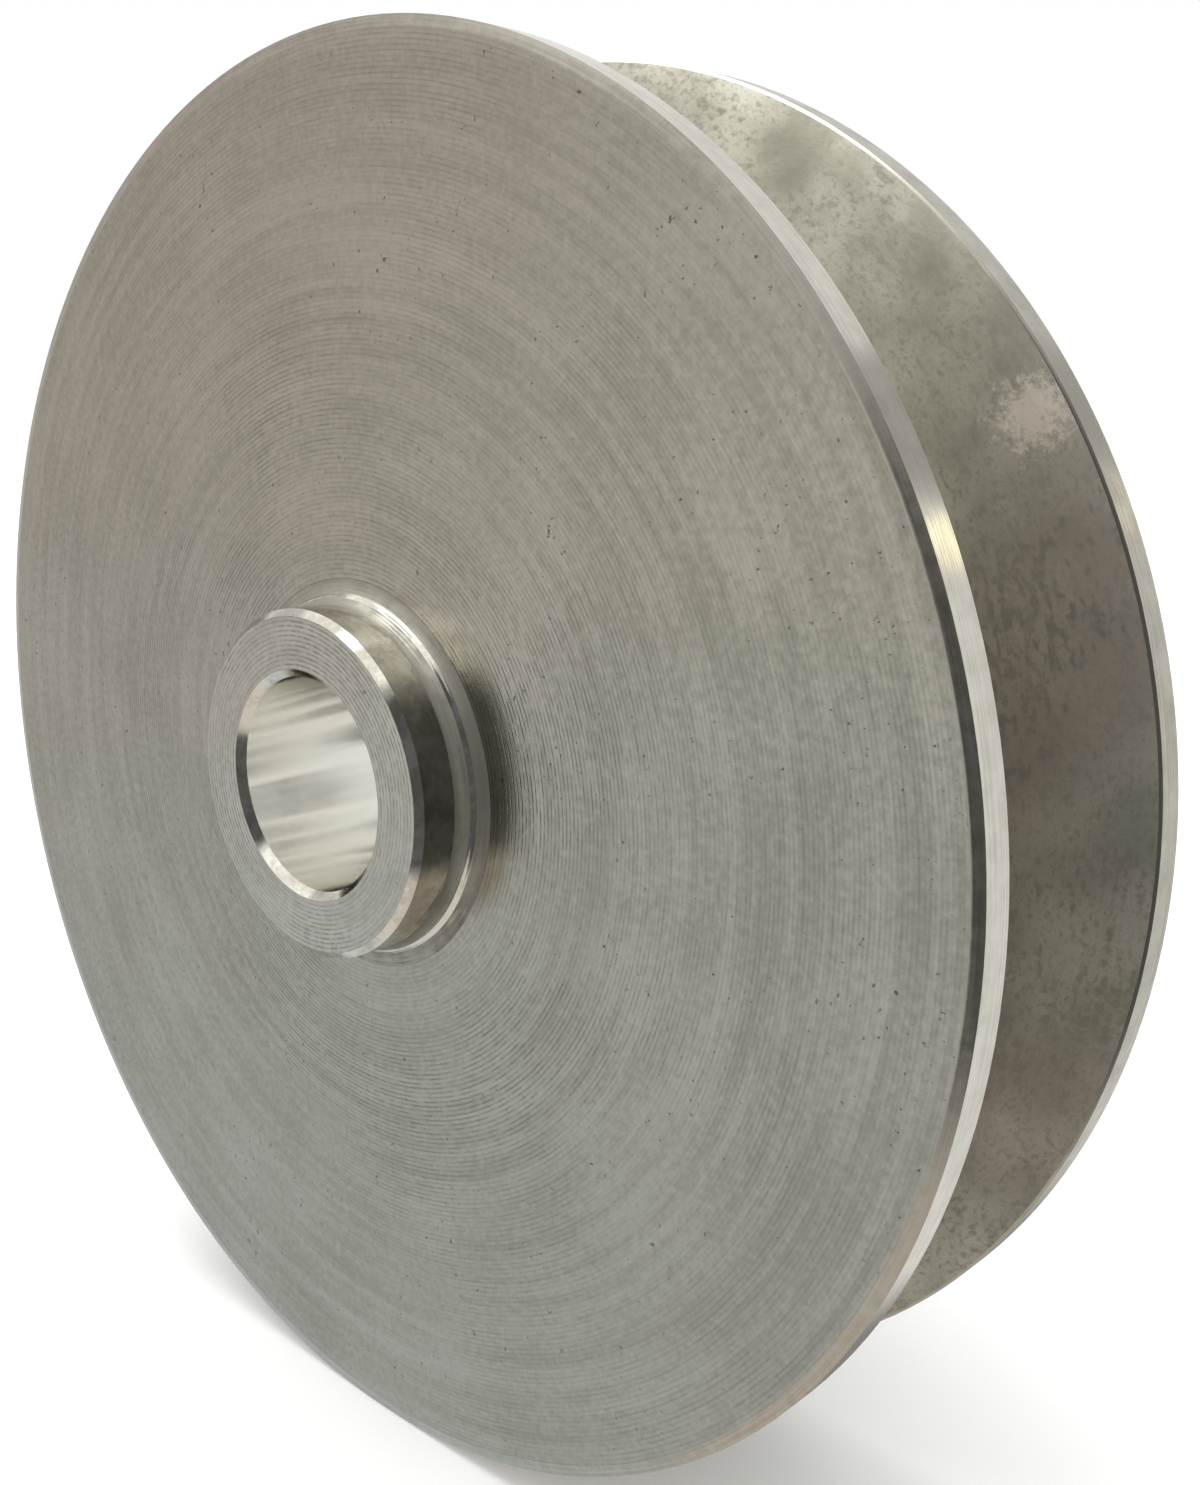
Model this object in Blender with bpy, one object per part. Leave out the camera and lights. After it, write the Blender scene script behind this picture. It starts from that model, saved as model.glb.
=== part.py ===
"""Single-groove V belt pulley, built up from a bored hub, two side flanges and two socket set screws.

Metres, +Z up. The pulley's axis is Y. The origin is on that axis, in the plane that halves the belt groove.
The nose of the hub points to -Y, and the boss that holds the set screws is at the +Y end.
"""

from math import cos, pi, radians, sin, tan

import bmesh
import bpy
from mathutils import Matrix, Vector

# Rim and belt groove
RIM_RADIUS = 0.0365
RIM_WIDTH = 0.0165
GROOVE_TOP_WIDTH = 0.013
GROOVE_DEPTH = 0.012
GROOVE_HALF_ANGLE = radians(17)
FACE_BEVEL_WIDTH = 0.0006
FACE_BEVEL_DEPTH = 0.00012

# Hub: the shaft bore, the nose in front and the boss behind
BORE_RADIUS = 0.0055
BORE_CHAMFER = 0.0004
NOSE_RADIUS = 0.0089
NOSE_LENGTH = 0.0034
NOSE_CHAMFER = 0.00035
NOSE_FILLET = 0.0012
BOSS_RADIUS = 0.013
BOSS_LENGTH = 0.0095
BOSS_CHAMFER = 0.0008

# Set screws
SCREW_RADIUS = 0.0025
SCREW_TIP_RECESS = 0.0005
SCREW_END_SINK = 0.001
SCREW_CUP_RADIUS = 0.0013
SCREW_CUP_DEPTH = 0.0006
SCREW_TIP_CHAMFER = 0.0007
SCREW_END_CHAMFER = 0.0003
SOCKET_ACROSS_FLATS = 0.0025
SOCKET_DEPTH = 0.0025
SCREW_DIRECTIONS = {"grub_screw_1": (0.0, 0.0, 1.0), "grub_screw_2": (1.0, 0.0, 0.0)}

# Clearance left between pieces that touch on the real pulley
FIT_GAP = 0.0003

# Fineness of the turned shapes
TURNED_STEPS = 72
SCREW_STEPS = 24
FILLET_STEPS = 4

# Places worked out from the sizes above
FACE_Y = -RIM_WIDTH / 2
BACK_Y = RIM_WIDTH / 2
GROOVE_LIP_Y = GROOVE_TOP_WIDTH / 2
GROOVE_FLOOR_RADIUS = RIM_RADIUS - GROOVE_DEPTH
GROOVE_FLOOR_Y = GROOVE_LIP_Y - GROOVE_DEPTH * tan(GROOVE_HALF_ANGLE)
NOSE_END_Y = FACE_Y - NOSE_LENGTH
BARREL_RADIUS = NOSE_RADIUS + NOSE_FILLET
SHOULDER_Y = BACK_Y + FIT_GAP
BOSS_END_Y = BACK_Y + BOSS_LENGTH
FLANGE_BORE_RADIUS = BARREL_RADIUS + FIT_GAP
SCREW_Y = (SHOULDER_Y + BOSS_END_Y) / 2
SCREW_HOLE_RADIUS = SCREW_RADIUS + FIT_GAP
SCREW_TIP_DISTANCE = BORE_RADIUS + SCREW_TIP_RECESS
SCREW_LENGTH = BOSS_RADIUS - SCREW_END_SINK - SCREW_TIP_DISTANCE

# Surface finishes: colour, roughness and metallic value
FINISHES = {
    "hub": ((0.56, 0.55, 0.52), 0.22, 1.0),
    "front_flange": ((0.60, 0.60, 0.57), 0.38, 1.0),
    "rear_flange": ((0.50, 0.51, 0.48), 0.42, 1.0),
    "grub_screw_1": ((0.09, 0.09, 0.10), 0.45, 0.8),
    "grub_screw_2": ((0.09, 0.09, 0.10), 0.45, 0.8),
}


def clear_scene():
    for old in list(bpy.data.objects):
        bpy.data.objects.remove(old, do_unlink=True)


def finish_material(name):
    """A Principled material with the colour, roughness and metallic value of one piece."""
    colour, roughness, metallic = FINISHES[name]
    material = bpy.data.materials.new(name + "_finish")
    material.use_nodes = True
    shader = material.node_tree.nodes["Principled BSDF"]
    shader.inputs["Base Color"].default_value = (*colour, 1.0)
    shader.inputs["Roughness"].default_value = roughness
    shader.inputs["Metallic"].default_value = metallic
    return material


def arc(centre_radius, centre_y, size, start, end):
    """Points (radius, y) on a circle of the turned section, between two angles in radians."""
    turns = [start + (end - start) * step / FILLET_STEPS for step in range(FILLET_STEPS + 1)]
    return [(centre_radius + size * cos(turn), centre_y + size * sin(turn)) for turn in turns]


def turned_mesh(name, section, steps, closed):
    """A mesh made by spinning a section of (radius, y) points once round the Y axis.

    A closed section is joined end to end, for a ring. An open one starts and ends on the axis.
    """
    work = bmesh.new()
    points = [work.verts.new((radius, y, 0.0)) for radius, y in section]
    edges = [work.edges.new(pair) for pair in zip(points, points[1:])]
    if closed:
        edges.append(work.edges.new((points[-1], points[0])))
    whole = points + edges
    axis = (0, 1, 0)
    bmesh.ops.spin(work, geom=whole, cent=(0, 0, 0), axis=axis, angle=2 * pi, steps=steps, use_merge=True)
    bmesh.ops.remove_doubles(work, verts=work.verts, dist=1e-7)
    bmesh.ops.recalc_face_normals(work, faces=work.faces)
    if work.calc_volume(signed=True) < 0:
        bmesh.ops.reverse_faces(work, faces=work.faces)
    mesh = bpy.data.meshes.new(name)
    work.to_mesh(mesh)
    work.free()
    mesh.shade_smooth()
    mesh.set_sharp_from_angle(angle=radians(25))
    return mesh


def add_piece(name, mesh, parent):
    """An object for one piece, with its own material, under the pulley's axis."""
    piece = bpy.data.objects.new(name, mesh)
    bpy.context.scene.collection.objects.link(piece)
    piece.parent = parent
    mesh.materials.append(finish_material(name))
    return piece


def add_cutter(name, parent, sides, radius, near, far):
    """A prism along the parent's Z axis, from near to far, that only cuts other pieces."""
    work = bmesh.new()
    bmesh.ops.create_cone(
        work, cap_ends=True, segments=sides, radius1=radius, radius2=radius, depth=far - near
    )
    bmesh.ops.translate(work, verts=work.verts, vec=(0, 0, (near + far) / 2))
    mesh = bpy.data.meshes.new(name)
    work.to_mesh(mesh)
    work.free()
    cutter = bpy.data.objects.new(name, mesh)
    bpy.context.scene.collection.objects.link(cutter)
    cutter.parent = parent
    cutter.hide_render = True
    cutter.display_type = "WIRE"
    return cutter


def cut(piece, cutter):
    """Takes the cutter's shape out of the piece."""
    modifier = piece.modifiers.new(cutter.name, "BOOLEAN")
    modifier.operation = "DIFFERENCE"
    modifier.solver = "EXACT"
    modifier.object = cutter


def hub_section():
    """Round the hub's section: bore, nose with its fillet, barrel, shoulder and boss."""
    bore_mouth = BORE_RADIUS + BORE_CHAMFER
    return [
        (BORE_RADIUS, BOSS_END_Y - BORE_CHAMFER),
        (BORE_RADIUS, NOSE_END_Y + BORE_CHAMFER),
        (bore_mouth, NOSE_END_Y),
        (NOSE_RADIUS - NOSE_CHAMFER, NOSE_END_Y),
        (NOSE_RADIUS, NOSE_END_Y + NOSE_CHAMFER),
        *arc(BARREL_RADIUS, FACE_Y - NOSE_FILLET, NOSE_FILLET, pi, pi / 2),
        (BARREL_RADIUS, SHOULDER_Y),
        (BOSS_RADIUS, SHOULDER_Y),
        (BOSS_RADIUS, BOSS_END_Y - BOSS_CHAMFER),
        (BOSS_RADIUS - BOSS_CHAMFER, BOSS_END_Y),
        (bore_mouth, BOSS_END_Y),
    ]


def front_flange_section():
    """The front disc: bore, face with its shallow edge bevel, the groove's front wall and its floor."""
    core_end = GROOVE_FLOOR_Y - FIT_GAP
    return [
        (FLANGE_BORE_RADIUS, core_end),
        (FLANGE_BORE_RADIUS, FACE_Y),
        (RIM_RADIUS - FACE_BEVEL_WIDTH, FACE_Y),
        (RIM_RADIUS, FACE_Y + FACE_BEVEL_DEPTH),
        (RIM_RADIUS, -GROOVE_LIP_Y),
        (GROOVE_FLOOR_RADIUS, -GROOVE_FLOOR_Y),
        (GROOVE_FLOOR_RADIUS, core_end),
    ]


def rear_flange_section():
    """The rear disc: the groove's rear wall in front, and a flat back."""
    return [
        (FLANGE_BORE_RADIUS, BACK_Y),
        (FLANGE_BORE_RADIUS, GROOVE_FLOOR_Y),
        (GROOVE_FLOOR_RADIUS, GROOVE_FLOOR_Y),
        (RIM_RADIUS, GROOVE_LIP_Y),
        (RIM_RADIUS, BACK_Y - FACE_BEVEL_DEPTH),
        (RIM_RADIUS - FACE_BEVEL_WIDTH, BACK_Y),
    ]


def screw_section():
    """A set screw from its cup point, at 0 along its length, to its outer end."""
    return [
        (0.0, SCREW_CUP_DEPTH),
        (SCREW_CUP_RADIUS, 0.0),
        (SCREW_RADIUS - SCREW_TIP_CHAMFER, 0.0),
        (SCREW_RADIUS, SCREW_TIP_CHAMFER),
        (SCREW_RADIUS, SCREW_LENGTH - SCREW_END_CHAMFER),
        (SCREW_RADIUS - SCREW_END_CHAMFER, SCREW_LENGTH),
        (0.0, SCREW_LENGTH),
    ]


def place_along(thing, direction, distance):
    """Turns the thing's Z axis outward from the pulley's axis, and puts it at a distance out."""
    outward = Vector(direction)
    thing.rotation_euler = outward.to_track_quat("Z", "Y").to_euler()
    thing.location = outward * distance + Vector((0.0, SCREW_Y, 0.0))


def add_screw(name, direction, hub, axis):
    """One set screw in its hole through the boss, with the hexagon socket in its outer end."""
    mesh = turned_mesh(name, screw_section(), SCREW_STEPS, closed=False)
    # The section runs along Y, and the screw runs along its own Z.
    mesh.transform(Matrix.Rotation(pi / 2, 4, "X"))
    screw = add_piece(name, mesh, axis)
    place_along(screw, direction, SCREW_TIP_DISTANCE)

    socket_radius = SOCKET_ACROSS_FLATS / 2 / cos(pi / 6)
    socket_floor = SCREW_LENGTH - SOCKET_DEPTH
    past_the_end = SCREW_LENGTH + FIT_GAP
    socket = add_cutter(name + "_socket", screw, 6, socket_radius, socket_floor, past_the_end)
    cut(screw, socket)

    in_the_bore = BORE_RADIUS / 2
    past_the_boss = BOSS_RADIUS + FIT_GAP
    hole = add_cutter(name + "_hole", axis, SCREW_STEPS, SCREW_HOLE_RADIUS, in_the_bore, past_the_boss)
    place_along(hole, direction, 0.0)
    cut(hub, hole)
    return screw


def build_pulley():
    clear_scene()
    axis = bpy.data.objects.new("pulley_axis", None)
    bpy.context.scene.collection.objects.link(axis)

    hub = add_piece("hub", turned_mesh("hub", hub_section(), TURNED_STEPS, closed=True), axis)
    front = turned_mesh("front_flange", front_flange_section(), TURNED_STEPS, closed=True)
    add_piece("front_flange", front, axis)
    rear = turned_mesh("rear_flange", rear_flange_section(), TURNED_STEPS, closed=True)
    add_piece("rear_flange", rear, axis)
    for name, direction in SCREW_DIRECTIONS.items():
        add_screw(name, direction, hub, axis)


build_pulley()
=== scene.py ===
# %% [markdown]
# # A small V belt pulley in turned aluminium
#
# A pulley like this is almost all lathe work: a bored hub, and two side discs whose sloping inner walls
# make the groove that the belt runs in. Nearly every piece is a surface of revolution, so nearly every
# mesh here is one section line carried round the Y axis. What makes it look real is the finish: the feed
# marks that the tool leaves on the faces, the polish on the nose and the bore, and the small broken edges
# that catch the light.

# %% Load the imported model, which fixes every size and place
from math import pi, radians

import bmesh
import bpy
import numpy as np
from mathutils import Matrix, Vector


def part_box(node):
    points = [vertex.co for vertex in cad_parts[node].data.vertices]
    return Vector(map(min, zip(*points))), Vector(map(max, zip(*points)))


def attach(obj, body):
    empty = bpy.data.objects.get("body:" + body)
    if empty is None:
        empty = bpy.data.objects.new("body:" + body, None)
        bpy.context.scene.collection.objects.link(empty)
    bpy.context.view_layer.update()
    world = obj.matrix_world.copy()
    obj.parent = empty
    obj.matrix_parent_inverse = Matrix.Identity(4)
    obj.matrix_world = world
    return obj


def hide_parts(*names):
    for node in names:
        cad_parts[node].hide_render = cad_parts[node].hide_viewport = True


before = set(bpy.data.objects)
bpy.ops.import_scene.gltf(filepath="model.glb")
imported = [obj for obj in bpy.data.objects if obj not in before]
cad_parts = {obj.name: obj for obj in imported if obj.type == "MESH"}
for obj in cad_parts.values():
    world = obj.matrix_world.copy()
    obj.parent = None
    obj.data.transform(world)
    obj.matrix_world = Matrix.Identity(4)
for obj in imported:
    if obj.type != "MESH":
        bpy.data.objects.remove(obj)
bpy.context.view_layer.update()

print("pieces in the frame:", sorted(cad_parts))

# %% [markdown]
# ## Sizes
#
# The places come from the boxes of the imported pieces, so this script follows the design. What a box can't
# tell, such as the bore or the edge bevels, is named here in metres. The real pieces are pressed together,
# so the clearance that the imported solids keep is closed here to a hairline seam.

# %% Places from the frame
front_low, front_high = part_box("front_flange")
rear_low, rear_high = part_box("rear_flange")
hub_low, hub_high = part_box("hub")
RIM_RADIUS = front_high.x
FACE_Y = front_low.y
BACK_Y = rear_high.y
GROOVE_FLOOR_Y = rear_low.y
NOSE_END_Y = hub_low.y
BOSS_END_Y = hub_high.y
BOSS_RADIUS = hub_high.x
print(f"rim {2000 * RIM_RADIUS:.1f} mm, rim width {1000 * (BACK_Y - FACE_Y):.1f} mm")
print(f"hub length {1000 * (BOSS_END_Y - NOSE_END_Y):.1f} mm")

# %% Sizes that the boxes don't give
GROOVE_LIP_Y = 0.0065
GROOVE_FLOOR_RADIUS = 0.0245
LIP_BREAK = 0.00014
BORE_RADIUS = 0.0055
BORE_CHAMFER = 0.0004
NOSE_RADIUS = 0.0089
NOSE_CHAMFER = 0.00035
NOSE_FILLET = 0.0012
BOSS_CHAMFER = 0.0008
BEVEL_WIDTH = 0.0006
BEVEL_DEPTH = 0.00012
SEAM = 0.00001

# %% Radii worked out from those sizes
MOUTH_RADIUS = BORE_RADIUS + BORE_CHAMFER
NOSE_EDGE = NOSE_RADIUS - NOSE_CHAMFER
BARREL_RADIUS = NOSE_RADIUS + NOSE_FILLET
BOSS_EDGE = BOSS_RADIUS - BOSS_CHAMFER
FLANGE_BORE = BARREL_RADIUS + SEAM
FACE_EDGE = RIM_RADIUS - BEVEL_WIDTH
print(f"the faced disc runs from {1000 * FLANGE_BORE:.2f} mm out to {1000 * FACE_EDGE:.2f} mm")

# %% [markdown]
# ## Carrying a section round an axis
#
# A lathe turns the metal while the tool follows a line, so the surface is that line carried round the axis.
# Blender's Spin and Screw do this too. Working it out as one array keeps the rows in order, which later
# lets each stretch of the section have its own finish, and lets the feed marks be real geometry.

# %% Turn a section into a grid of points
COLUMNS = 192


def turn(section):
    """Each (radius, y) point of the section goes round Y: x = radius cos t, y = y, z = radius sin t."""
    angle = np.linspace(0, 2 * pi, COLUMNS, endpoint=False)
    radius, along = section[:, 0, None], section[:, 1, None]
    return np.stack([radius * np.cos(angle), along + 0 * angle, radius * np.sin(angle)], axis=-1)


def line(start, end, steps=1):
    """Points on a straight line: start + u (end - start), as u runs from 0 to 1."""
    u = np.linspace(0, 1, steps + 1)[:, None]
    return np.array(start) + u * (np.array(end) - np.array(start))


# %% Join stretches of a section, and remember the finish of each
def join(stretches):
    """One array of (radius, y) points from stretches that meet end to end, and the finish of each band."""
    points, bands = [], []
    for number, (stretch, finish) in enumerate(stretches):
        points.append(stretch if number == 0 else stretch[1:])
        bands += [finish] * (len(stretch) - 1)
    return np.concatenate(points), bands


# %% Make the mesh
SHARP_EDGE = radians(30)


def clean_surface(mesh):
    """Closes poles and seams, turns the faces outward, and shades smooth up to the sharp angle."""
    work = bmesh.new()
    work.from_mesh(mesh)
    bmesh.ops.remove_doubles(work, verts=work.verts, dist=1e-7)
    bmesh.ops.recalc_face_normals(work, faces=work.faces)
    if work.calc_volume(signed=True) < 0:
        bmesh.ops.reverse_faces(work, faces=work.faces)
    work.to_mesh(mesh)
    work.free()
    mesh.shade_smooth()
    mesh.set_sharp_from_angle(angle=SHARP_EDGE)


def grid_mesh(name, grid, bands, materials, close_rows):
    """Quads between neighbouring points of a grid, with one finish for each band between two rows.

    The columns join end to end, and so do the rows where close_rows is set.
    """
    rows, columns = grid.shape[:2]
    here = np.arange(rows * columns).reshape(rows, columns)
    above = np.roll(here, -1, axis=0)
    if not close_rows:
        here, above = here[:-1], above[:-1]
    quads = np.stack([here, above, np.roll(above, -1, axis=1), np.roll(here, -1, axis=1)], axis=-1)
    mesh = bpy.data.meshes.new(name)
    mesh.from_pydata(grid.reshape(-1, 3).tolist(), [], quads.reshape(-1, 4).tolist())
    used = list(dict.fromkeys(bands))
    for finish in used:
        mesh.materials.append(materials[finish])
    slots = np.repeat([used.index(finish) for finish in bands], columns)
    mesh.polygons.foreach_set("material_index", slots.astype(np.int32))
    clean_surface(mesh)
    return mesh


# %% Add an object to the scene
def add_object(name, data):
    thing = bpy.data.objects.new(name, data)
    bpy.context.scene.collection.objects.link(thing)
    return thing


def add_piece(name, mesh, body, slot, *nodes):
    """An object for a finished mesh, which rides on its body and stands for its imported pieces."""
    piece = add_object(name, mesh)
    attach(piece, body)
    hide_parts(*nodes)
    print(f"{name}: {len(mesh.polygons)} faces")
    return piece


# %% [markdown]
# ## Node helpers for the finishes
#
# Turned metal has streaks that run round the axis. A point's direction from the axis, with its length taken
# away, changes only along a streak, and its distance along the section changes only across it. A noise read
# from those two is long one way and fine the other, with no seam, which plain x, y, z noise can't give.

# %% Small helpers that add nodes
def new_finish(name, colour, roughness):
    """A metal with a plain colour and roughness, which each finish then covers with its own pattern."""
    material = bpy.data.materials.new(name)
    material.use_nodes = True
    shader = material.node_tree.nodes["Principled BSDF"]
    shader.inputs["Metallic"].default_value = 1.0
    shader.inputs["Base Color"].default_value = (*colour, 1.0)
    shader.inputs["Roughness"].default_value = roughness
    return material, material.node_tree, shader


def plug(tree, socket, value):
    """Joins a value to an input: another node's output, or a plain number or vector."""
    if isinstance(value, bpy.types.NodeSocket):
        tree.links.new(value, socket)
    else:
        socket.default_value = value


def between(tree, value, old_range, new_range=(0.0, 1.0)):
    """The value's eased share of the way through the old range, spread over the new one and held in it."""
    node = tree.nodes.new("ShaderNodeMapRange")
    node.interpolation_type = "SMOOTHSTEP"
    for socket, number in zip(node.inputs, (value, *old_range, *new_range)):
        plug(tree, socket, number)
    return node.outputs[0]


def blend_colours(tree, share, first, second):
    """first + share (second - first), for colours that are nodes' outputs or plain (red, green, blue)."""
    node = tree.nodes.new("ShaderNodeMix")
    node.data_type = "RGBA"
    plug(tree, node.inputs[0], share)
    # A Mix node keeps its two colour sockets after those for numbers and vectors.
    for socket, colour in zip(node.inputs[6:8], (first, second)):
        plug(tree, socket, (*colour, 1.0) if isinstance(colour, tuple) else colour)
    return node.outputs[2]


# %% Sums with nodes
def calculate(tree, operation, *values):
    node = tree.nodes.new("ShaderNodeMath")
    node.operation = operation
    for socket, value in zip(node.inputs, values):
        plug(tree, socket, value)
    return node.outputs[0]


def vector_math(tree, operation, *values):
    node = tree.nodes.new("ShaderNodeVectorMath")
    node.operation = operation
    for socket, value in zip(node.inputs, values):
        plug(tree, socket, value)
    return node.outputs["Value" if operation in ("LENGTH", "DOT_PRODUCT") else "Vector"]


def scaled(tree, vector, scale):
    node = tree.nodes.new("ShaderNodeVectorMath")
    node.operation = "SCALE"
    plug(tree, node.inputs[0], vector)
    plug(tree, node.inputs["Scale"], scale)
    return node.outputs[0]


def product(tree, first, *others):
    for other in others:
        first = calculate(tree, "MULTIPLY", first, other)
    return first


def weighted(tree, *terms):
    """The sum of weight times value, over pairs of them."""
    total = 0.0
    for weight, value in terms:
        total = calculate(tree, "MULTIPLY_ADD", value, weight, total)
    return total


# %% Where a point lies, and how far it is from the axis
def object_place(tree):
    return tree.nodes.new("ShaderNodeTexCoord").outputs["Object"]


def away_from_axis(tree, place):
    """(x, 0, z), which points straight out from the axis and is as long as the radius."""
    return vector_math(tree, "MULTIPLY", place, (1, 0, 1))


def radius_of(tree, place):
    """The square root of x^2 + z^2."""
    return vector_math(tree, "LENGTH", away_from_axis(tree, place))


# %% Noise through the metal, and noise that is drawn out round the axis
def cloud(tree, place, scale, detail=3.0, roughness=0.5):
    """Plain noise, for stains and mottling, with so many cells to a metre."""
    noise = tree.nodes.new("ShaderNodeTexNoise")
    noise.inputs["Scale"].default_value = scale
    noise.inputs["Detail"].default_value = detail
    noise.inputs["Roughness"].default_value = roughness
    tree.links.new(place, noise.inputs["Vector"])
    return noise.outputs["Fac"]


def streaks(tree, place, fineness, shortness, detail=3.0):
    """Noise read at shortness (x, 0, z) / radius + fineness (0, radius + y, 0)."""
    radius = radius_of(tree, place)
    direction = vector_math(tree, "NORMALIZE", away_from_axis(tree, place))
    travel = calculate(tree, "ADD", radius, vector_math(tree, "DOT_PRODUCT", place, (0, 1, 0)))
    across = scaled(tree, (0, 1, 0), calculate(tree, "MULTIPLY", travel, fineness))
    drawn_out = vector_math(tree, "ADD", scaled(tree, direction, shortness), across)
    return cloud(tree, drawn_out, 1.0, detail)


# %% Join a finished pattern to the shader
def set_look(tree, shader, colour, roughness):
    tree.links.new(colour, shader.inputs["Base Color"])
    tree.links.new(roughness, shader.inputs["Roughness"])


def raise_surface(tree, shader, height, distance):
    bump = tree.nodes.new("ShaderNodeBump")
    bump.inputs["Distance"].default_value = distance
    tree.links.new(height, bump.inputs["Height"])
    tree.links.new(bump.outputs["Normal"], shader.inputs["Normal"])


def brush_round(tree, shader, amount):
    """Stretches highlights across the tool marks: the tangent runs round Y, a quarter turn from it."""
    tangent = tree.nodes.new("ShaderNodeTangent")
    tangent.direction_type = "RADIAL"
    tangent.axis = "Y"
    tree.links.new(tangent.outputs["Tangent"], shader.inputs["Tangent"])
    shader.inputs["Anisotropic"].default_value = amount
    shader.inputs["Anisotropic Rotation"].default_value = 0.25


# %% [markdown]
# ## Faced aluminium
#
# The flat faces were cut by a tool fed slowly across them. The ridges are in the mesh, and the material
# paints a thin line of shade in each valley between them, at the same pitch, where a shadow line would fall.
# The rest
# is finer still: rings of slightly different tone, a grain of small specks, dull stains, and dark pits where
# the bar's grain tore.

# %% How far the tool moves for each turn
FEED = 0.00024


def ring_count(inner, outer):
    """The whole number of feed marks that fits best between two radii."""
    return max(1, round(abs(outer - inner) / FEED))


def ring_pitch(inner, outer):
    return abs(outer - inner) / ring_count(inner, outer)


disc_pitch = ring_pitch(FLANGE_BORE, FACE_EDGE)
end_pitch = ring_pitch(MOUTH_RADIUS, NOSE_EDGE)
print(f"{ring_count(FLANGE_BORE, FACE_EDGE)} feed marks on a disc, {1000 * disc_pitch:.4f} mm apart")

# %% Painted shade in the valleys between feed marks
# The colour and strength of the painted shade in the valleys between feed marks.
VALLEY_SHADE_COLOUR = (0.13, 0.125, 0.105)
VALLEY_SHADE_STRENGTH = 0.72


def feed_line_shade(tree, place, inner, pitch):
    """Painted shade in the valleys: (1/2 + 1/2 cos(2 pi (radius - inner) / pitch)) cubed, weaker towards the
    rim and fading in patches.
    """
    radius = radius_of(tree, place)
    turns = calculate(tree, "DIVIDE", calculate(tree, "SUBTRACT", radius, inner), pitch)
    wave = calculate(tree, "COSINE", calculate(tree, "MULTIPLY", turns, 2 * pi))
    wave = calculate(tree, "POWER", calculate(tree, "MULTIPLY_ADD", wave, 0.5, 0.5), 3.0)
    near_hub = between(tree, radius, (0.014, 0.027), (1.0, 0.42))
    patch = between(tree, cloud(tree, place, scale=95.0), (0.36, 0.60), (0.35, 1.0))
    uneven = streaks(tree, place, fineness=3900.0, shortness=16.0, detail=2.0)
    uneven = between(tree, uneven, (0.34, 0.62), (0.25, 1.0))
    return product(tree, wave, near_hub, patch, uneven)


# %% Faced finish
PIT_COLOUR = (0.07, 0.065, 0.055)


def faced_finish(name, inner, pitch, dark, light):
    """Rings, grain and stains between dark and light, with painted shade in the valleys, dark pits, smoother
    near the hub.
    """
    material, tree, shader = new_finish(name, light, 0.34)
    place = object_place(tree)
    rings = streaks(tree, place, fineness=1700.0, shortness=1.6)
    grain = cloud(tree, place, scale=2300.0, roughness=0.65)
    stain = cloud(tree, place, scale=130.0, detail=5.0, roughness=0.62)
    tone = weighted(tree, (0.30, rings), (0.40, grain), (0.30, stain))
    valley_shade_and_depth = feed_line_shade(tree, place, inner, pitch)
    specks = cloud(tree, place, scale=3000.0, detail=2.0, roughness=0.6)
    pits = between(tree, weighted(tree, (1.0, specks), (0.3, stain)), (0.84, 0.92), (0.0, 0.75))

    metal = blend_colours(tree, between(tree, tone, (0.36, 0.64)), dark, light)
    # Painted shade: a thin dark line in each valley, where a shadow line would fall.
    metal = blend_colours(tree, product(tree, valley_shade_and_depth, VALLEY_SHADE_STRENGTH), metal, VALLEY_SHADE_COLOUR)
    metal = blend_colours(tree, pits, metal, PIT_COLOUR)
    rough = between(tree, tone, (0.36, 0.64), (0.38, 0.27))
    smoother = between(tree, radius_of(tree, place), (0.011, 0.018), (0.68, 1.0))
    set_look(tree, shader, metal, product(tree, rough, smoother))
    height = weighted(tree, (1.0, grain), (-1.0, valley_shade_and_depth), (-1.0, pits))
    raise_surface(tree, shader, height, distance=0.000006)
    brush_round(tree, shader, amount=0.25)
    return material


# %% [markdown]
# ## Bright, polished, bored and groove finishes
#
# The narrow rim lands were cut with a finer feed and look brighter. The nose is smoother still, and the bore
# was reamed, so it works almost as a mirror. The groove's walls are duller and mottled, with scuffs and
# grime, and one bright spot that is a painted reflection, where a light would glint on the wall.

# %% Bright turned finish
def bright_finish(name, dark, light, roughness):
    material, tree, shader = new_finish(name, light, roughness)
    place = object_place(tree)
    fine = streaks(tree, place, fineness=9000.0, shortness=3.0)
    wear = cloud(tree, place, scale=700.0, detail=4.0, roughness=0.6)
    tone = weighted(tree, (0.5, fine), (0.5, wear))
    metal = blend_colours(tree, between(tree, tone, (0.36, 0.62)), dark, light)
    rough = between(tree, tone, (0.36, 0.62), (1.3 * roughness, 0.8 * roughness))
    set_look(tree, shader, metal, rough)
    raise_surface(tree, shader, tone, distance=0.000005)
    brush_round(tree, shader, amount=0.3)
    return material


# %% Edge bevel finish
def bevel_finish():
    material, tree, shader = new_finish("bevelled_edge_aluminium", (0.46, 0.44, 0.39), 0.16)
    place = object_place(tree)
    fine = streaks(tree, place, fineness=6000.0, shortness=4.0)
    nicks = cloud(tree, place, scale=1500.0, detail=5.0, roughness=0.7)
    tone = weighted(tree, (0.5, fine), (0.5, nicks))
    share = between(tree, tone, (0.36, 0.62))
    metal = blend_colours(tree, share, (0.40, 0.38, 0.335), (0.50, 0.48, 0.43))
    set_look(tree, shader, metal, between(tree, tone, (0.36, 0.62), (0.13, 0.20)))
    raise_surface(tree, shader, tone, distance=0.0000012)
    return material


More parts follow.
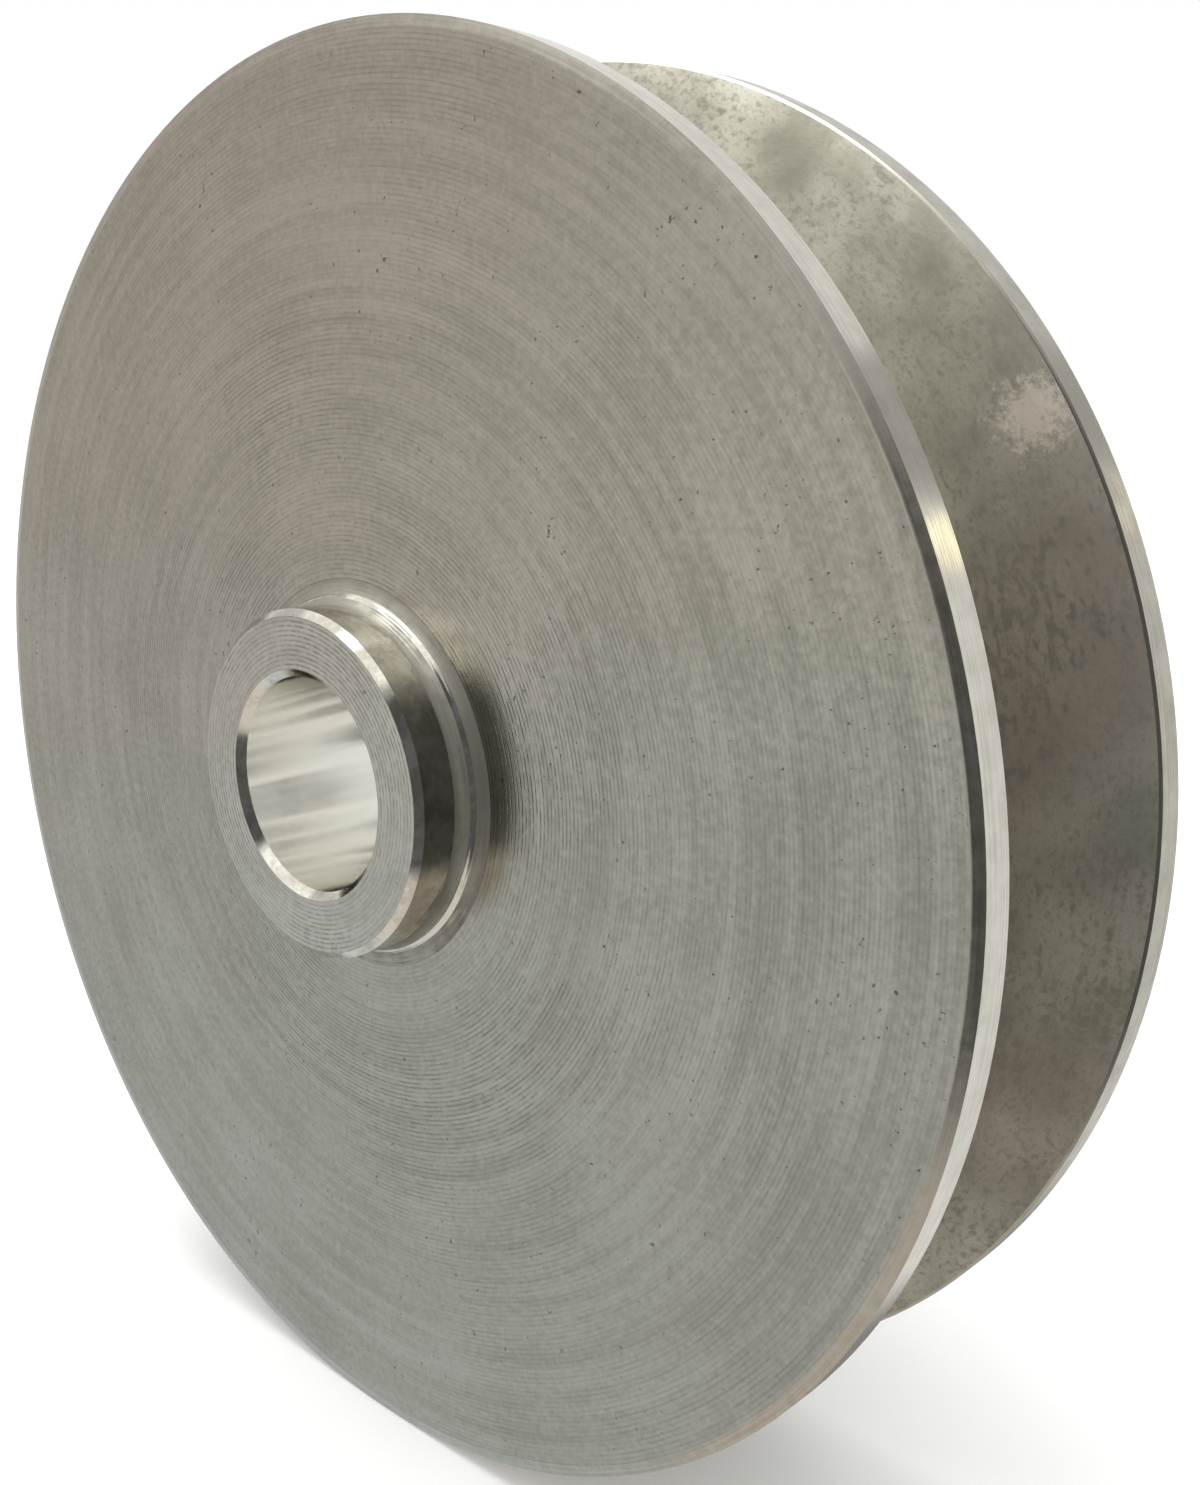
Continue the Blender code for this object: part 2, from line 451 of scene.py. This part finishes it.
# %% Polished finish of the nose
def polished_finish():
    material, tree, shader = new_finish("polished_aluminium", (0.60, 0.58, 0.53), 0.12)
    place = object_place(tree)
    fine = streaks(tree, place, fineness=7000.0, shortness=2.0)
    smear = cloud(tree, place, scale=640.0, detail=5.0, roughness=0.68)
    share = between(tree, smear, (0.38, 0.60))
    metal = blend_colours(tree, share, (0.52, 0.50, 0.45), (0.74, 0.725, 0.67))
    set_look(tree, shader, metal, between(tree, smear, (0.35, 0.7), (0.08, 0.17)))
    raise_surface(tree, shader, calculate(tree, "ADD", fine, smear), distance=0.000003)
    return material


# %% Bored finish, almost a mirror
def bored_finish():
    material, tree, shader = new_finish("reamed_bore_aluminium", (0.90, 0.89, 0.85), 0.06)
    place = object_place(tree)
    fine = streaks(tree, place, fineness=3000.0, shortness=1.0)
    smear = cloud(tree, place, scale=300.0, roughness=0.6)
    share = between(tree, smear, (0.36, 0.64))
    metal = blend_colours(tree, share, (0.93, 0.925, 0.90), (0.97, 0.965, 0.945))
    set_look(tree, shader, metal, between(tree, smear, (0.35, 0.7), (0.09, 0.15)))
    raise_surface(tree, shader, fine, distance=0.0000004)
    brush_round(tree, shader, amount=0.95)
    return material


# %% Groove wall finish
# A painted reflection: where the bright spot on the groove wall lies and how big it is, standing for a
# light's glint.
PAINTED_GLINT_PLACE = (0.0297, 0.006, 0.0185)
PAINTED_GLINT_SIZE = 0.0056


def painted_glint_share(tree, place):
    """The painted reflection's ragged spot: full where distance / size plus noise is low, and nothing
    beyond.
    """
    distance = vector_math(tree, "LENGTH", vector_math(tree, "SUBTRACT", place, PAINTED_GLINT_PLACE))
    ragged = cloud(tree, place, scale=2400.0, detail=4.0, roughness=0.8)
    reach = weighted(tree, (1 / PAINTED_GLINT_SIZE, distance), (1.0, ragged))
    return between(tree, reach, (0.60, 0.88), (0.6, 0.0))


def groove_finish():
    """Mottled grey with rosy areas, then grime in strokes and specks, then a painted reflection: a pale spot
    where a light would glint.
    """
    material, tree, shader = new_finish("groove_aluminium", (0.5, 0.49, 0.42), 0.54)
    place = object_place(tree)
    strokes = streaks(tree, place, fineness=2600.0, shortness=40.0)
    mottle = cloud(tree, place, scale=2600.0, detail=5.0, roughness=0.75)
    blotch = cloud(tree, place, scale=170.0, detail=5.0, roughness=0.6)
    tone = weighted(tree, (0.4, mottle), (0.35, blotch), (0.25, strokes))
    rosy = between(tree, cloud(tree, place, scale=55.0, detail=2.0), (0.48, 0.66), (0.0, 0.4))
    worn = between(tree, cloud(tree, place, scale=120.0), (0.40, 0.64), (0.0, 0.12))
    grime = weighted(tree, (0.45, strokes), (0.55, mottle), (1.0, worn))
    grime = between(tree, grime, (0.52, 0.70), (0.0, 0.6))

    share = between(tree, tone, (0.40, 0.59))
    metal = blend_colours(tree, share, (0.41, 0.40, 0.335), (0.62, 0.60, 0.53))
    metal = blend_colours(tree, rosy, metal, (0.52, 0.44, 0.395))
    metal = blend_colours(tree, grime, metal, (0.24, 0.23, 0.18))
    # Painted reflection: a pale warm spot where a light would glint on the wall.
    metal = blend_colours(tree, painted_glint_share(tree, place), metal, (0.95, 0.86, 0.78))
    set_look(tree, shader, metal, between(tree, tone, (0.40, 0.60), (0.74, 0.60)))
    raise_surface(tree, shader, mottle, distance=0.000008)
    brush_round(tree, shader, amount=0.2)
    return material


# %% Steel finish of the screws
def screw_finish(name, dark, light):
    material, tree, shader = new_finish(name, dark, 0.42)
    rub = cloud(tree, object_place(tree), scale=900.0, detail=4.0, roughness=0.6)
    metal = blend_colours(tree, between(tree, rub, (0.4, 0.75)), dark, light)
    set_look(tree, shader, metal, between(tree, rub, (0.35, 0.7), (0.34, 0.52)))
    raise_surface(tree, shader, rub, distance=0.000008)
    return material


# %% The finishes of the pulley, by name
finishes = {
    "faced": faced_finish(
        "faced_disc", FLANGE_BORE, disc_pitch, dark=(0.36, 0.345, 0.295), light=(0.475, 0.457, 0.403)
    ),
    "end": faced_finish(
        "faced_hub_end", MOUTH_RADIUS, end_pitch, dark=(0.44, 0.425, 0.375), light=(0.56, 0.545, 0.485)
    ),
    "bright": bright_finish("bright_turned", (0.52, 0.505, 0.45), (0.66, 0.64, 0.585), 0.11),
    # The rear land's finish: rougher than the bright one, and its colours darkened as painted shade.
    "dull": bright_finish("dull_shaded_turned", (0.37, 0.355, 0.31), (0.48, 0.46, 0.41), 0.24),
    "fillet": bright_finish("soft_fillet", (0.40, 0.39, 0.345), (0.45, 0.435, 0.38), 0.60),
    "bevel": bevel_finish(),
    "polished": polished_finish(),
    "bored": bored_finish(),
    "groove": groove_finish(),
}
print("finishes:", ", ".join(finishes))

# %% [markdown]
# ## Feed marks
#
# The tool's rounded tip leaves a row of shallow scallops, one for each turn. They are closed rings here: one
# turn of the real spiral differs from a ring by only one feed. Their depth rises and falls round the disc,
# as the real ones do where the tool rubbed.

# %% Face a disc with scalloped rings
MARK_DEPTH = 0.000007
POINTS_TO_A_MARK = 4


def faced_line(start_radius, end_radius, y):
    """Points across a flat face, a few for each feed mark."""
    steps = POINTS_TO_A_MARK * ring_count(start_radius, end_radius)
    return line((start_radius, y), (end_radius, y), steps)


def cut_marks(grid, y, outward, seed):
    """Sinks each point of the face at y by depth (1 - (2 f - 1)^2) ring fade, for f, its share of a feed.

    ring is a different amount for each mark, from 0.4 to 1.3, and fade turns slowly with angle and radius.
    """
    radius = np.hypot(grid[..., 0], grid[..., 2])
    angle = np.arctan2(grid[..., 2], grid[..., 0])
    level = np.abs(grid[..., 1] - y) < 1e-7
    inner, outer = radius[level].min(), radius[level].max()
    marks = ring_count(inner, outer)
    count = np.clip((radius - inner) / (outer - inner), 0, 1) * marks
    share = np.round(count * POINTS_TO_A_MARK) % POINTS_TO_A_MARK / POINTS_TO_A_MARK
    depths = np.random.default_rng(seed).uniform(0.4, 1.3, marks + 1)
    ring = depths[np.minimum(np.floor(count + 0.01).astype(int), marks)]
    fade = 0.75 + 0.25 * np.sin(2 * angle + 700 * radius) * np.cos(3 * angle - 1900 * radius)
    scallop = MARK_DEPTH * (1 - (2 * share - 1) ** 2) * ring * fade
    grid[..., 1] -= np.where(level, outward * scallop, 0.0)
    return grid


# %% [markdown]
# ## Front flange
#
# The front disc carries the wide face that everyone sees, a shallow rolled-off edge, the narrow land, the
# front wall of the groove and the core whose outside is the groove's floor. Its section is a closed line,
# and each stretch of it names its own finish.

# %% Front flange
def front_flange():
    core_end = GROOVE_FLOOR_Y - SEAM
    bevel_end = (RIM_RADIUS, FACE_Y + BEVEL_DEPTH)
    lip = (RIM_RADIUS, -GROOVE_LIP_Y)
    floor_start = (GROOVE_FLOOR_RADIUS, -GROOVE_FLOOR_Y)
    floor_end = (GROOVE_FLOOR_RADIUS, core_end)
    section, bands = join([
        (line((FLANGE_BORE, core_end), (FLANGE_BORE, FACE_Y)), "bright"),
        (faced_line(FLANGE_BORE, FACE_EDGE, FACE_Y), "faced"),
        (line((FACE_EDGE, FACE_Y), bevel_end, 4), "bevel"),
        (line(bevel_end, lip, 6), "bright"),
        (line(lip, floor_start, 8), "groove"),
        (line(floor_start, floor_end, 4), "groove"),
        (line(floor_end, (FLANGE_BORE, core_end)), "bright"),
    ])
    grid = cut_marks(turn(section[:-1]), FACE_Y, -1, seed=1)
    return grid_mesh("front_flange_turned", grid, bands, finishes, close_rows=True)


add_piece("front_flange_turned", front_flange(), "pulley", "front_flange", "front_flange")


# %% [markdown]
# ## Rear flange
#
# The rear disc is the other side of the groove. A small broken edge parts its wall from its land.

# %% Rear flange
def rear_flange():
    slope = (GROOVE_LIP_Y - GROOVE_FLOOR_Y) / (RIM_RADIUS - GROOVE_FLOOR_RADIUS)
    wall_foot = (GROOVE_FLOOR_RADIUS, GROOVE_FLOOR_Y)
    wall_top = (RIM_RADIUS - LIP_BREAK, GROOVE_LIP_Y - LIP_BREAK * slope)
    lip = (RIM_RADIUS, GROOVE_LIP_Y + LIP_BREAK / 2)
    land_end = (RIM_RADIUS, BACK_Y - BEVEL_DEPTH)
    section, bands = join([
        (line((FLANGE_BORE, BACK_Y), (FLANGE_BORE, GROOVE_FLOOR_Y)), "bright"),
        (line((FLANGE_BORE, GROOVE_FLOOR_Y), wall_foot), "bright"),
        (line(wall_foot, wall_top, 8), "groove"),
        # The rear land takes the darker copy, whose colour is partly painted shade.
        (line(wall_top, lip, 2), "dull"),
        (line(lip, land_end, 3), "dull"),
        (line(land_end, (FACE_EDGE, BACK_Y), 4), "bevel"),
        (faced_line(FACE_EDGE, FLANGE_BORE, BACK_Y), "faced"),
    ])
    grid = cut_marks(turn(section[:-1]), BACK_Y, 1, seed=2)
    return grid_mesh("rear_flange_turned", grid, bands, finishes, close_rows=True)


add_piece("rear_flange_turned", rear_flange(), "pulley", "rear_flange", "rear_flange")


# %% [markdown]
# ## Hub
#
# The hub is one long turning: the polished nose with its chamfer and fillet in front, the bore through the
# middle, the hidden barrel that the flanges are pressed on, and the boss behind. The form tool that cut the
# fillet left a low bead half way round it, which is a bright line on the real hub, so the bead is polished
# here and the rest of the fillet is soft.

# %% Fillet between the nose and the face
BEAD_HEIGHT = 0.00003
BEAD_ANGLE = 0.74 * pi
BEAD_WIDTH = 0.05
FILLET_POINTS = 33
BEAD_START, BEAD_END = 14, 19


def fillet_line():
    """A quarter circle round a centre, of size fillet - height exp(-((a - middle) / width)^2) at angle a."""
    a = np.linspace(pi, pi / 2, FILLET_POINTS)
    size = NOSE_FILLET - BEAD_HEIGHT * np.exp(-(((a - BEAD_ANGLE) / BEAD_WIDTH) ** 2))
    return np.stack([BARREL_RADIUS + size * np.cos(a), FACE_Y - NOSE_FILLET + size * np.sin(a)], axis=1)


# %% Hub section, from the back of the bore round the nose to the boss
def hub():
    shoulder = BACK_Y + SEAM
    bore_back = (BORE_RADIUS, BOSS_END_Y - BORE_CHAMFER)
    bore_front = (BORE_RADIUS, NOSE_END_Y + BORE_CHAMFER)
    chamfer_end = (NOSE_RADIUS, NOSE_END_Y + NOSE_CHAMFER)
    boss_corner = (BOSS_RADIUS, BOSS_END_Y - BOSS_CHAMFER)
    fillet = fillet_line()
    section, bands = join([
        (line(bore_back, bore_front, 12), "bored"),
        (line(bore_front, (MOUTH_RADIUS, NOSE_END_Y), 3), "polished"),
        (faced_line(MOUTH_RADIUS, NOSE_EDGE, NOSE_END_Y), "end"),
        (line((NOSE_EDGE, NOSE_END_Y), chamfer_end, 3), "polished"),
        (line(chamfer_end, (NOSE_RADIUS, FACE_Y - NOSE_FILLET), 3), "polished"),
        (fillet[:BEAD_START + 1], "fillet"),
        (fillet[BEAD_START:BEAD_END + 1], "polished"),
        (fillet[BEAD_END:], "fillet"),
        (line((BARREL_RADIUS, FACE_Y), (BARREL_RADIUS, shoulder)), "bright"),
        (line((BARREL_RADIUS, shoulder), (BOSS_RADIUS, shoulder)), "bright"),
        (line((BOSS_RADIUS, shoulder), boss_corner, 10), "bright"),
        (line(boss_corner, (BOSS_EDGE, BOSS_END_Y), 2), "bright"),
        (faced_line(BOSS_EDGE, MOUTH_RADIUS, BOSS_END_Y), "end"),
        (line((MOUTH_RADIUS, BOSS_END_Y), bore_back, 3), "polished"),
    ])
    grid = cut_marks(turn(section[:-1]), NOSE_END_Y, -1, seed=3)
    grid = cut_marks(grid, BOSS_END_Y, 1, seed=4)
    return grid_mesh("hub_turned", grid, bands, finishes, close_rows=True)


hub_mesh = hub()
print("hub before its holes:", len(hub_mesh.polygons), "faces")

# %% [markdown]
# ## Set screws
#
# Two short socket set screws hold the pulley on its shaft. A screw thread is a bar whose radius depends on
# where a point is round and along it, so it is one formula on a grid.

# %% Sizes of the screws, from the frame
THREAD_PITCH = 0.0008
THREAD_DEPTH = 0.00042
CREST_FLAT = 0.125
SOCKET_FLATS = 0.0025
SOCKET_DEPTH = 0.0025
SOCKET_POINT = 0.0005
CUP_RADIUS = 0.0013
CUP_DEPTH = 0.0006
END_BREAK = 0.0003
top_low, top_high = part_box("grub_screw_1")
side_low, side_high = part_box("grub_screw_2")
SCREW_RADIUS = (top_high.x - top_low.x) / 2
SCREW_LENGTH = top_high.z - top_low.z
SCREW_Y = (top_high.y + top_low.y) / 2
print(f"screw {2000 * SCREW_RADIUS:.1f} mm thread, {1000 * SCREW_LENGTH:.1f} mm long")


# %% Thread as a function of angle and height
def thread_radius(angle, height, outer):
    """outer - depth times a triangle wave of height / pitch - angle / turn, clipped flat at its ends."""
    share = (height / THREAD_PITCH - angle / (2 * pi)) % 1.0
    wave = np.clip(np.abs(2 * share - 1) * (1 + 2 * CREST_FLAT) - CREST_FLAT, 0, 1)
    return outer - THREAD_DEPTH * wave


# %% One screw, standing on its cup point along its own z
SCREW_COLUMNS, SCREW_ROWS = 72, 91


def hexagon(angle):
    """The radius of a hexagon: half its width over cos of the angle from the middle of the nearest side."""
    return SOCKET_FLATS / 2 / np.cos((angle + pi / 6) % (pi / 3) - pi / 6)


def stacked_rows(radii, heights, angle):
    """Rows of points at x = radius cos t, y = radius sin t, z = height."""
    radii, heights = np.array(radii), np.array(heights)[:, None]
    return np.stack([radii * np.cos(angle), radii * np.sin(angle), heights + 0 * angle], axis=-1)


def screw_grid():
    """Rows from the cup's middle up the thread, over the end, down the socket and in to its middle."""
    angle = np.linspace(0, 2 * pi, SCREW_COLUMNS, endpoint=False)
    height = np.linspace(0, SCREW_LENGTH, SCREW_ROWS)[:, None]
    cup_end = CUP_RADIUS + END_BREAK + height
    outer_end = SCREW_RADIUS - END_BREAK + (SCREW_LENGTH - height)
    body = np.minimum(thread_radius(angle, height, SCREW_RADIUS), np.minimum(cup_end, outer_end))
    flat = hexagon(angle)
    bottom = SCREW_LENGTH - SOCKET_DEPTH
    radii = [0 * angle, CUP_RADIUS + 0 * angle, *body, flat * 1.08, flat, flat, 0.2 * flat, 0 * angle]
    heights = [CUP_DEPTH, 0.0, *height[:, 0], SCREW_LENGTH, SCREW_LENGTH - 0.0001]
    heights += [bottom, bottom - 0.8 * SOCKET_POINT, bottom - SOCKET_POINT]
    return stacked_rows(radii, heights, angle)


# %% Lay both screws in the boss, one upward and one to the side
def lay_along(points, outward, foot):
    """Carries the screw's own z to the outward direction, and its foot to a place."""
    turn_to = Vector(outward).to_track_quat("Z", "Y").to_matrix()
    return points @ np.array(turn_to).T + np.array(foot)


screws = [
    ("set_screw_1", "grub_screw_1", (0, 0, 1), (0, SCREW_Y, top_low.z)),
    ("set_screw_2", "grub_screw_2", (1, 0, 0), (side_low.x, SCREW_Y, 0)),
]
screw_finishes = {
    "point": screw_finish("ground_steel_point", (0.42, 0.42, 0.41), (0.58, 0.57, 0.55)),
    "black": screw_finish("black_oxide_steel", (0.035, 0.035, 0.04), (0.12, 0.115, 0.11)),
}
POINT_BANDS = 6
for body, node, outward, foot in screws:
    grid = lay_along(screw_grid(), outward, foot)
    bands = ["point"] * POINT_BANDS + ["black"] * (len(grid) - 1 - POINT_BANDS)
    mesh = grid_mesh(node + "_threaded", grid, bands, screw_finishes, close_rows=False)
    add_piece(node + "_threaded", mesh, body, "screws", node)

# %% [markdown]
# ## Threaded holes
#
# A hole that crosses a cylinder isn't a turned shape, so the set screws' holes are cut out of the hub with
# exact Booleans. The cutter is a threaded bar itself. A screw slides in and out here without turning, so the
# hole's crests stand just clear of the screw's at every depth.

# %% A cutter for one hole
HOLE_START, HOLE_END = BORE_RADIUS - 0.001, BOSS_RADIUS + 0.0006
HOLE_CLEARANCE = 0.00004
MOUTH_DEPTH = 0.0005
HOLE_COLUMNS, HOLE_ROWS = 48, 121


def hole_grid():
    """A loose thread, along z from inside the bore to past the boss, with a small flare at its mouth."""
    angle = np.linspace(0, 2 * pi, HOLE_COLUMNS, endpoint=False)
    height = np.linspace(HOLE_START, HOLE_END, HOLE_ROWS)[:, None]
    wall = thread_radius(angle, height - top_low.z, SCREW_RADIUS + THREAD_DEPTH + HOLE_CLEARANCE)
    flare = SCREW_RADIUS + END_BREAK + (height - (BOSS_RADIUS - MOUTH_DEPTH))
    radii = [0 * angle, *np.maximum(wall, flare), 0 * angle]
    heights = [height[0, 0], *height[:, 0], height[-1, 0]]
    return stacked_rows(radii, heights, angle)


# %% Cut both holes and add the hub
def cut_holes(mesh):
    """Takes both screw holes out of the hub, and keeps the result as its mesh."""
    blank = add_object("hub_blank", mesh)
    cutters = []
    for body, _, outward, _ in screws:
        grid = lay_along(hole_grid(), outward, (0, SCREW_Y, 0))
        bands = ["bright"] * (len(grid) - 1)
        cutter_mesh = grid_mesh(body + "_tap", grid, bands, finishes, close_rows=False)
        cutters.append(add_object(body + "_tap", cutter_mesh))
        modifier = blank.modifiers.new(body + "_hole", "BOOLEAN")
        modifier.operation = "DIFFERENCE"
        modifier.solver = "EXACT"
        modifier.object = cutters[-1]
    shape = blank.evaluated_get(bpy.context.evaluated_depsgraph_get())
    result = bpy.data.meshes.new_from_object(shape)
    for helper in [blank, *cutters]:
        bpy.data.objects.remove(helper)
    result.name = "hub_turned"
    result.shade_smooth()
    result.set_sharp_from_angle(angle=SHARP_EDGE)
    return result


add_piece("hub_turned", cut_holes(hub_mesh), "pulley", "hub", "hub")

# %% [markdown]
# ## Camera
#
# The camera stands close, a little above the axis and well to the right of the face, so the disc's far side
# is seen much smaller than its near side.

# %% Camera
CAMERA_PLACE = Vector((0, FACE_Y, 0)) + RIM_RADIUS * Vector((1.7555, -1.3464, 0.5462))
CAMERA_RIGHT = Vector((0.7352, 0.6778, 0))
CAMERA_UP = Vector((-0.1336, 0.1449, 0.9804))
CAMERA_BACK = Vector((0.6645, -0.7208, 0.1971))
camera_data = bpy.data.cameras.new("camera")
camera_data.lens = 38.49
camera_data.sensor_width = 36
camera_data.shift_x = -0.0169
camera_data.shift_y = -0.0293
camera_data.clip_start = 0.001
camera = add_object("camera", camera_data)
facing = Matrix((CAMERA_RIGHT, CAMERA_UP, CAMERA_BACK)).transposed().to_4x4()
camera.matrix_world = Matrix.Translation(CAMERA_PLACE) @ facing
bpy.context.scene.camera = camera
print(f"camera {1000 * CAMERA_PLACE.length:.0f} mm from the pulley's middle")

# %% [markdown]
# ## Floor and light
#
# Metal shows what is around it, so the surroundings are part of the finish. A real studio's windows, bench
# and dark corners could be modelled, but painting them into the world as soft round patches is simpler, and
# it keeps them out of the picture: only a mirrored ray sees them, and every other ray meets plain white.

# %% Floor, which the metal doesn't mirror
FLOOR_HALF = 3.0
FLOOR_Z = -RIM_RADIUS - 0.00002
corners = [(x * FLOOR_HALF, y * FLOOR_HALF, FLOOR_Z) for x, y in ((-1, -1), (1, -1), (1, 1), (-1, 1))]
floor_mesh = bpy.data.meshes.new("floor")
floor_mesh.from_pydata(corners, [], [(0, 1, 2, 3)])
floor_material = bpy.data.materials.new("pale_floor")
floor_material.use_nodes = True
floor_shader = floor_material.node_tree.nodes["Principled BSDF"]
floor_shader.inputs["Base Color"].default_value = (0.96, 0.96, 0.955, 1)
floor_shader.inputs["Roughness"].default_value = 0.9
# A faint glow makes the far floor as white as the sky, so no horizon shows.
floor_shader.inputs["Emission Color"].default_value = (1, 1, 1, 1)
floor_shader.inputs["Emission Strength"].default_value = 0.06
floor_mesh.materials.append(floor_material)
floor = add_object("floor", floor_mesh)
floor.visible_glossy = False
print(f"floor at z = {1000 * FLOOR_Z:.2f} mm")

# %% Soft areas of the studio, as seen in the metal
# Each has a direction, the closeness to it where it starts to show and where it is full, and a colour.
ROOM_COLOUR = (0.76, 0.75, 0.71)
studio = [
    ("pale back wall", (0.0, 1.0, 0.1), -0.2, 0.3, (0.92, 0.91, 0.88)),
    ("wide window ahead", (-0.68, -0.68, -0.22), 0.89, 0.98, (0.92, 0.905, 0.86)),
    ("cool light from below left", (-0.75, -0.35, -0.6), 0.75, 0.98, (0.69, 0.74, 0.76)),
    ("rosy light from the left", (-0.9, -0.4, 0.15), 0.85, 0.99, (0.69, 0.635, 0.60)),
    ("dark side of the room", (0.5, -0.85, -0.1), 0.60, 0.74, (0.12, 0.12, 0.12)),
    ("brown bench in front", (0.0, -0.6, -0.8), 0.88, 0.95, (0.78, 0.73, 0.66)),
    ("soft light above", (-0.3, -0.4, 0.87), 0.80, 0.86, (1.35, 1.35, 1.28)),
    ("shelf behind", (0.27, 0.85, 0.44), 0.985, 0.995, (0.48, 0.47, 0.44)),
    ("shade behind and below", (-0.55, 0.6, -0.58), 0.86, 0.95, (0.26, 0.26, 0.24)),
    ("lamp behind", (0.40, 0.87, 0.29), 0.998, 0.9996, (2.2, 2.0, 1.4)),
]
print("the metal mirrors:", ", ".join(area[0] for area in studio))

# %% World
world = bpy.data.worlds.new("studio")
bpy.context.scene.world = world
world.use_nodes = True
sky = world.node_tree
toward = sky.nodes.new("ShaderNodeTexCoord").outputs["Generated"]
room = ROOM_COLOUR
for _, centre, start, full, tint in studio:
    closeness = vector_math(sky, "DOT_PRODUCT", toward, Vector(centre).normalized())
    room = blend_colours(sky, between(sky, closeness, (start, full)), room, tint)
mirrored = sky.nodes.new("ShaderNodeLightPath").outputs["Is Glossy Ray"]
seen = blend_colours(sky, mirrored, (1.0, 1.0, 1.0), room)
sky.links.new(seen, sky.nodes["Background"].inputs["Color"])
bpy.context.scene.view_settings.view_transform = "Standard"
# Light crosses the bore many times before it leaves.
bpy.context.scene.cycles.glossy_bounces = 12

# %% Soft light overhead, which lays the shadow on the floor
ceiling = bpy.data.lights.new("ceiling", "AREA")
ceiling.size = 0.5
ceiling.energy = 3.0
ceiling_lamp = add_object("ceiling", ceiling)
ceiling_lamp.location = (-0.15, -0.1, 0.7)
ceiling_lamp.rotation_euler = (-ceiling_lamp.location).to_track_quat("-Z", "Y").to_euler()
print(f"soft light {ceiling_lamp.location.length:.2f} m away")
